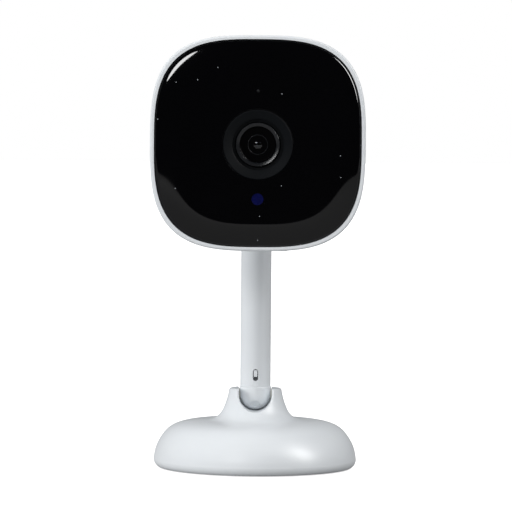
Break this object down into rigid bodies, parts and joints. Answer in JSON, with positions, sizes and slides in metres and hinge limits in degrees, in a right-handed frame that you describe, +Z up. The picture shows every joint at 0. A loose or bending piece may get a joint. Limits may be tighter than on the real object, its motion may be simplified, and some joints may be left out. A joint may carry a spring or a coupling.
{
  "type": "security camera",
  "caption": "Indoor camera: squircle head with a black front and round lens, on a slim stem that folds in a forked round base.",
  "frame": {"origin": "centre of the foot pad's underside, on the surface the camera stands on", "axes": "+Z up, the lens looks along -Y, +X to the right of someone who faces the lens"},
  "size_m": [0.0576, 0.0662, 0.1192],
  "materials": {
    "white_abs": "satin moulded",
    "black_acrylic": "polished",
    "matt_black": "fine matt",
    "lens_black": "satin",
    "lens_glass": "coated",
    "blue_window": "polished",
    "circuit_board": "solder mask",
    "chip_black": "moulded",
    "clear_epoxy": "clear",
    "steel": "plated",
    "aluminium": "milled",
    "brass": "turned",
    "acetal": "natural",
    "foam": "foam",
    "amber_film": "film",
    "silicone": "matt"
  },
  "bodies": {
    "base": {"base_shell": "white_abs", "base_plate": "white_abs", "ballast_plate": "steel", "foot_pad": "silicone", "base_screws": "steel", "hinge_pin": "steel", "hinge_washers": "acetal"},
    "stem": {"stem_tube": "white_abs", "stem_knuckle": "white_abs", "ball_stud": "white_abs"},
    "swivel_ring": {"liner_ring": "acetal"},
    "swivel_cap": {"liner_cap": "acetal"},
    "head": {"front_panel": "black_acrylic", "panel_adhesive": "foam", "head_frame": "white_abs", "sensor_window": "blue_window", "lens_shroud": "matt_black", "lens_barrel": "lens_black", "front_lens": "lens_glass", "rear_lens": "lens_glass", "iris_ring": "matt_black", "lens_mount": "matt_black", "ir_filter": "lens_glass", "image_sensor": "chip_black", "main_pcb": "circuit_board", "processor": "chip_black", "led_board": "circuit_board", "ir_leds": "clear_epoxy", "light_sensor": "chip_black", "microphone": "steel", "status_led": "clear_epoxy", "board_spacers": "brass", "head_screws": "steel", "speaker": "matt_black", "wifi_antenna": "amber_film", "heat_sink": "aluminium", "usb_inlet": "steel", "microsd_socket": "steel", "reset_switch": "chip_black", "rear_shell": "white_abs", "ball_cup": "acetal", "ball_collar": "white_abs", "cup_screws": "steel"},
    "reset_button": {"reset_button": "white_abs"}
  },
  "joints": [
    {"name": "stem_fold", "type": "hinge", "parent": "base", "child": "stem", "pos_m": [0, 0, 0.0206], "axis": [1, 0, 0], "range_deg": [-90, 90]},
    {"name": "head_pan", "type": "hinge", "parent": "stem", "child": "swivel_ring", "pos_m": [0, -0.015, 0.09045], "axis": [0, 0, 1], "range_deg": [-28, 28]},
    {"name": "head_tilt", "type": "hinge", "parent": "swivel_ring", "child": "swivel_cap", "pos_m": [0, -0.015, 0.09045], "axis": [1, 0, 0], "range_deg": [-26, 22]},
    {"name": "head_roll", "type": "hinge", "parent": "swivel_cap", "child": "head", "pos_m": [0, -0.015, 0.09045], "axis": [0, 1, 0], "range_deg": [-15, 15]},
    {"name": "reset_press", "type": "slide", "parent": "head", "child": "reset_button", "axis": [0, 0, 1], "range_m": [0, 0.0005], "stiffness_N_per_m": 1500, "springref_m": -0.0002}
  ]
}
